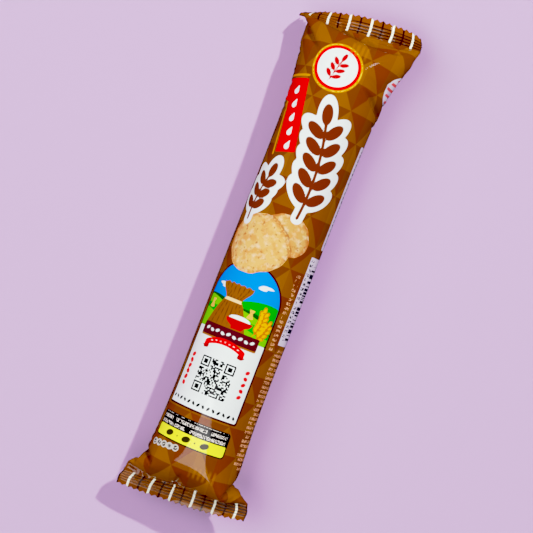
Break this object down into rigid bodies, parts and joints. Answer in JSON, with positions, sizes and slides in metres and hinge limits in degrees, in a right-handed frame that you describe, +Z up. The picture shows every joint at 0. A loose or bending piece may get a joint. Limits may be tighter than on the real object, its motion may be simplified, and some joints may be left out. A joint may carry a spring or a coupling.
{
  "type": "rice cracker pack",
  "caption": "Slender sealed flow-wrap pack of small rice crackers, lying on its back, with a crimped, zigzag-cut seal at each end.",
  "frame": {"origin": "middle of the pack's outline, on the surface that it lies on", "axes": "+Y along the pack towards its top, +Z up through its printed front, +X to the pack's right"},
  "size_m": [0.066, 0.2552, 0.0378],
  "materials": {
    "printed_film": "glossy printed packaging film, brown with a two-tone triangle pattern"
  },
  "bodies": {
    "root": {"pack": "printed_film"}
  },
  "joints": []
}
